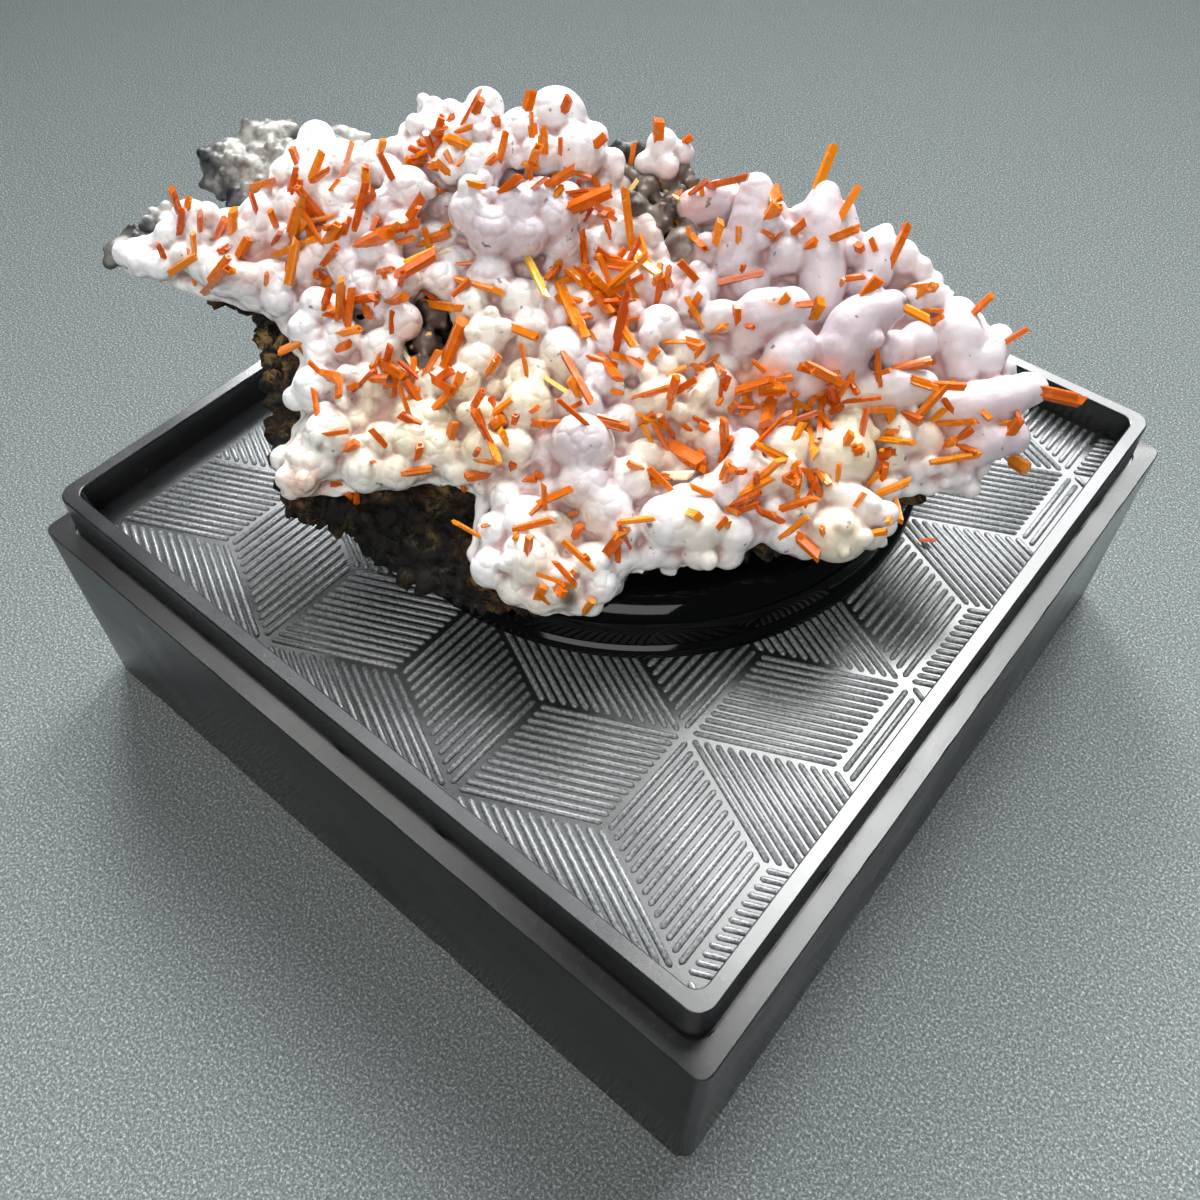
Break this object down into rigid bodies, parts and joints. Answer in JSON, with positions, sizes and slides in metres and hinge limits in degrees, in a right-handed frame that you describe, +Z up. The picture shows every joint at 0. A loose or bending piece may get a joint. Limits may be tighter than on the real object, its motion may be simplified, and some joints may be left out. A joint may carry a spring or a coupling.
{
  "type": "crocoite on matrix",
  "caption": "Orange-red crocoite prisms on a white botryoidal gibbsite crust over dark gossan, resting on a black puck in a square black mineral-box base.",
  "frame": {"origin": "centre of the box's underside, on the surface it stands on", "axes": "+Z up; X and Y along the box's sides; the specimen lies across the box's diagonal with its low front towards +X, -Y"},
  "size_m": [0.058, 0.058, 0.0414],
  "materials": {
    "box_plastic": "moulded black, glossy walls with fine scuffs and dust",
    "puck_plastic": "polished black",
    "gossan": "spongy, dull, dark brown to black with ochre spots",
    "gibbsite": "smooth waxy white with lilac and cream tints",
    "crocoite": "glassy orange-red, striated along the length"
  },
  "bodies": {
    "root": {"box_base": "box_plastic", "crocoite_back_bar": "crocoite", "crocoite_back_column": "crocoite", "crocoite_back_needle": "crocoite", "crocoite_block_patch": "crocoite", "crocoite_bridge": "crocoite", "crocoite_bridge_upper": "crocoite", "crocoite_comb_spike": "crocoite", "crocoite_cream_bar": "crocoite", "crocoite_edge_middle": "crocoite", "crocoite_edge_upper": "crocoite", "crocoite_end_bar": "crocoite", "crocoite_finger_fork": "crocoite", "crocoite_finger_side": "crocoite", "crocoite_finger_spike": "crocoite", "crocoite_front_bar": "crocoite", "crocoite_front_needle": "crocoite", "crocoite_front_thin": "crocoite", "crocoite_golden_needle": "crocoite", "crocoite_hollow_bar": "crocoite", "crocoite_knob_bar": "crocoite", "crocoite_knob_foot": "crocoite", "crocoite_knob_side": "crocoite", "crocoite_knob_slab": "crocoite", "crocoite_low_right_needle": "crocoite", "crocoite_mass_low": "crocoite", "crocoite_mass_mid": "crocoite", "crocoite_mass_slab": "crocoite", "crocoite_middle_needle": "crocoite", "crocoite_palm_blade": "crocoite", "crocoite_pit_slab": "crocoite", "crocoite_pit_upper": "crocoite", "crocoite_right_bar": "crocoite", "crocoite_right_fan": "crocoite", "crocoite_side_lower": "crocoite", "crocoite_spray_column": "crocoite", "crocoite_spray_gold": "crocoite", "crocoite_spray_left": "crocoite", "crocoite_spray_low": "crocoite", "crocoite_spray_right": "crocoite", "crocoite_under_spike": "crocoite", "crocoite_upper_blade": "crocoite", "crocoite_upright": "crocoite", "crocoite_wing_block": "crocoite", "crocoite_wing_long": "crocoite", "crocoite_wing_pair": "crocoite", "crocoite_wing_short": "crocoite", "display_puck": "puck_plastic", "gibbsite_crust": "gibbsite", "gossan_matrix": "gossan"}
  },
  "joints": []
}
